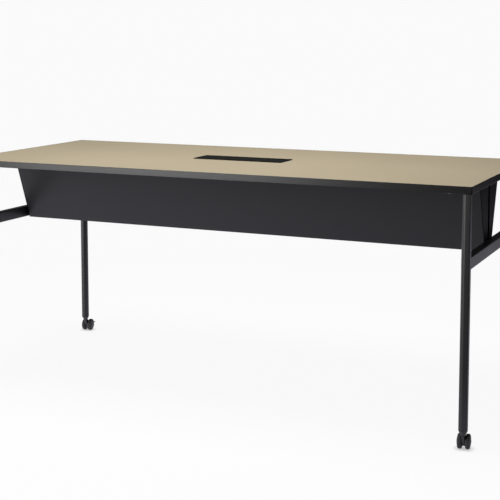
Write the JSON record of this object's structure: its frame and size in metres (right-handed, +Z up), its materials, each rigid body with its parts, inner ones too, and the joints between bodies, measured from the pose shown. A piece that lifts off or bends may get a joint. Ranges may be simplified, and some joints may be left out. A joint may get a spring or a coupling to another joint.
{
  "type": "communal table",
  "caption": "Long standing-height communal table with a lidded cable access, a V-shaped cable trough and swivelling braked twin-wheel casters.",
  "frame": {"origin": "on the floor under the middle of the top", "axes": "+X along the top's length, +Y to its rear long side, +Z up"},
  "size_m": [2.4439, 1.18, 1.065],
  "materials": {
    "tan_laminate": "fine matte laminate",
    "black_edge": "satin edge band",
    "board": "raw board",
    "black_sheet": "matte balancing sheet",
    "black_moulding": "fine grained moulding",
    "black_panel": "matte powder coat",
    "charcoal_coat": "satin powder coat",
    "steel": "bright",
    "black_nylon": "moulded nylon",
    "rubber": "soft tread"
  },
  "bodies": {
    "table": {"access_liner": "black_moulding", "edge_band": "black_edge", "front_fascia": "black_panel", "front_left_caster_stem": "steel", "front_left_leg": "charcoal_coat", "front_left_leg_plate": "charcoal_coat", "front_left_socket": "black_nylon", "front_right_caster_stem": "steel", "front_right_leg": "charcoal_coat", "front_right_leg_plate": "charcoal_coat", "front_right_socket": "black_nylon", "left_crossbar": "charcoal_coat", "left_end_plate": "black_panel", "left_hinge_pin": "steel", "rear_fascia": "black_panel", "rear_left_caster_stem": "steel", "rear_left_leg": "charcoal_coat", "rear_left_leg_plate": "charcoal_coat", "rear_left_socket": "black_nylon", "rear_right_caster_stem": "steel", "rear_right_leg": "charcoal_coat", "rear_right_leg_plate": "charcoal_coat", "rear_right_socket": "black_nylon", "right_crossbar": "charcoal_coat", "right_end_plate": "black_panel", "right_hinge_pin": "steel", "top_backer": "black_sheet", "top_core": "board", "top_laminate": "tan_laminate", "trough_floor": "black_panel"},
    "lid": {"access_lid": "black_moulding"},
    "front_left_caster": {"front_left_caster_fork": "black_nylon", "front_left_caster_axle": "steel"},
    "front_left_left_wheel": {"front_left_caster_left_hub": "black_nylon", "front_left_caster_left_tyre": "rubber"},
    "front_left_right_wheel": {"front_left_caster_right_hub": "black_nylon", "front_left_caster_right_tyre": "rubber"},
    "front_left_brake": {"front_left_caster_brake_pedal": "black_nylon"},
    "front_right_caster": {"front_right_caster_fork": "black_nylon", "front_right_caster_axle": "steel"},
    "front_right_left_wheel": {"front_right_caster_left_hub": "black_nylon", "front_right_caster_left_tyre": "rubber"},
    "front_right_right_wheel": {"front_right_caster_right_hub": "black_nylon", "front_right_caster_right_tyre": "rubber"},
    "front_right_brake": {"front_right_caster_brake_pedal": "black_nylon"},
    "rear_left_caster": {"rear_left_caster_fork": "black_nylon", "rear_left_caster_axle": "steel"},
    "rear_left_left_wheel": {"rear_left_caster_left_hub": "black_nylon", "rear_left_caster_left_tyre": "rubber"},
    "rear_left_right_wheel": {"rear_left_caster_right_hub": "black_nylon", "rear_left_caster_right_tyre": "rubber"},
    "rear_left_brake": {"rear_left_caster_brake_pedal": "black_nylon"},
    "rear_right_caster": {"rear_right_caster_fork": "black_nylon", "rear_right_caster_axle": "steel"},
    "rear_right_left_wheel": {"rear_right_caster_left_hub": "black_nylon", "rear_right_caster_left_tyre": "rubber"},
    "rear_right_right_wheel": {"rear_right_caster_right_hub": "black_nylon", "rear_right_caster_right_tyre": "rubber"},
    "rear_right_brake": {"rear_right_caster_brake_pedal": "black_nylon"}
  },
  "joints": [
    {"name": "lid_hinge", "type": "hinge", "parent": "table", "child": "lid", "pos_m": [0, 0.05802, 1.0611], "axis": [-1, 0, 0], "range_deg": [0, 105]},
    {"name": "front_left_swivel", "type": "hinge", "parent": "table", "child": "front_left_caster", "pos_m": [-1.1925, -0.5075, 0.085], "axis": [0, 0, 1], "continuous": true},
    {"name": "front_left_left_wheel_spin", "type": "hinge", "parent": "front_left_caster", "child": "front_left_left_wheel", "pos_m": [-1.18936, -0.53734, 0.03073], "axis": [-0.9945, -0.1045, 0], "continuous": true},
    {"name": "front_left_right_wheel_spin", "type": "hinge", "parent": "front_left_caster", "child": "front_left_right_wheel", "pos_m": [-1.18936, -0.53734, 0.03073], "axis": [-0.9945, -0.1045, 0], "continuous": true},
    {"name": "front_left_brake_press", "type": "hinge", "parent": "front_left_caster", "child": "front_left_brake", "pos_m": [-1.1878, -0.55225, 0.04374], "axis": [0.9945, 0.1045, 0], "range_deg": [0, 14]},
    {"name": "front_right_swivel", "type": "hinge", "parent": "table", "child": "front_right_caster", "pos_m": [1.1925, -0.5075, 0.085], "axis": [0, 0, 1], "continuous": true},
    {"name": "front_right_left_wheel_spin", "type": "hinge", "parent": "front_right_caster", "child": "front_right_left_wheel", "pos_m": [1.18936, -0.47766, 0.03073], "axis": [0.9945, 0.1045, 0], "continuous": true},
    {"name": "front_right_right_wheel_spin", "type": "hinge", "parent": "front_right_caster", "child": "front_right_right_wheel", "pos_m": [1.18936, -0.47766, 0.03073], "axis": [0.9945, 0.1045, 0], "continuous": true},
    {"name": "front_right_brake_press", "type": "hinge", "parent": "front_right_caster", "child": "front_right_brake", "pos_m": [1.1878, -0.46275, 0.04374], "axis": [-0.9945, -0.1045, 0], "range_deg": [0, 14]},
    {"name": "rear_left_swivel", "type": "hinge", "parent": "table", "child": "rear_left_caster", "pos_m": [-1.1925, 0.5075, 0.085], "axis": [0, 0, 1], "continuous": true},
    {"name": "rear_left_left_wheel_spin", "type": "hinge", "parent": "rear_left_caster", "child": "rear_left_left_wheel", "pos_m": [-1.19564, 0.53734, 0.03073], "axis": [0.9945, 0.1045, 0], "continuous": true},
    {"name": "rear_left_right_wheel_spin", "type": "hinge", "parent": "rear_left_caster", "child": "rear_left_right_wheel", "pos_m": [-1.19564, 0.53734, 0.03073], "axis": [0.9945, 0.1045, 0], "continuous": true},
    {"name": "rear_left_brake_press", "type": "hinge", "parent": "rear_left_caster", "child": "rear_left_brake", "pos_m": [-1.1972, 0.55225, 0.04374], "axis": [-0.9945, -0.1045, 0], "range_deg": [0, 14]},
    {"name": "rear_right_swivel", "type": "hinge", "parent": "table", "child": "rear_right_caster", "pos_m": [1.1925, 0.5075, 0.085], "axis": [0, 0, 1], "continuous": true},
    {"name": "rear_right_left_wheel_spin", "type": "hinge", "parent": "rear_right_caster", "child": "rear_right_left_wheel", "pos_m": [1.18936, 0.53734, 0.03073], "axis": [0.9945, 0.1045, 0], "continuous": true},
    {"name": "rear_right_right_wheel_spin", "type": "hinge", "parent": "rear_right_caster", "child": "rear_right_right_wheel", "pos_m": [1.18936, 0.53734, 0.03073], "axis": [0.9945, 0.1045, 0], "continuous": true},
    {"name": "rear_right_brake_press", "type": "hinge", "parent": "rear_right_caster", "child": "rear_right_brake", "pos_m": [1.1878, 0.55225, 0.04374], "axis": [-0.9945, -0.1045, 0], "range_deg": [0, 14]}
  ]
}
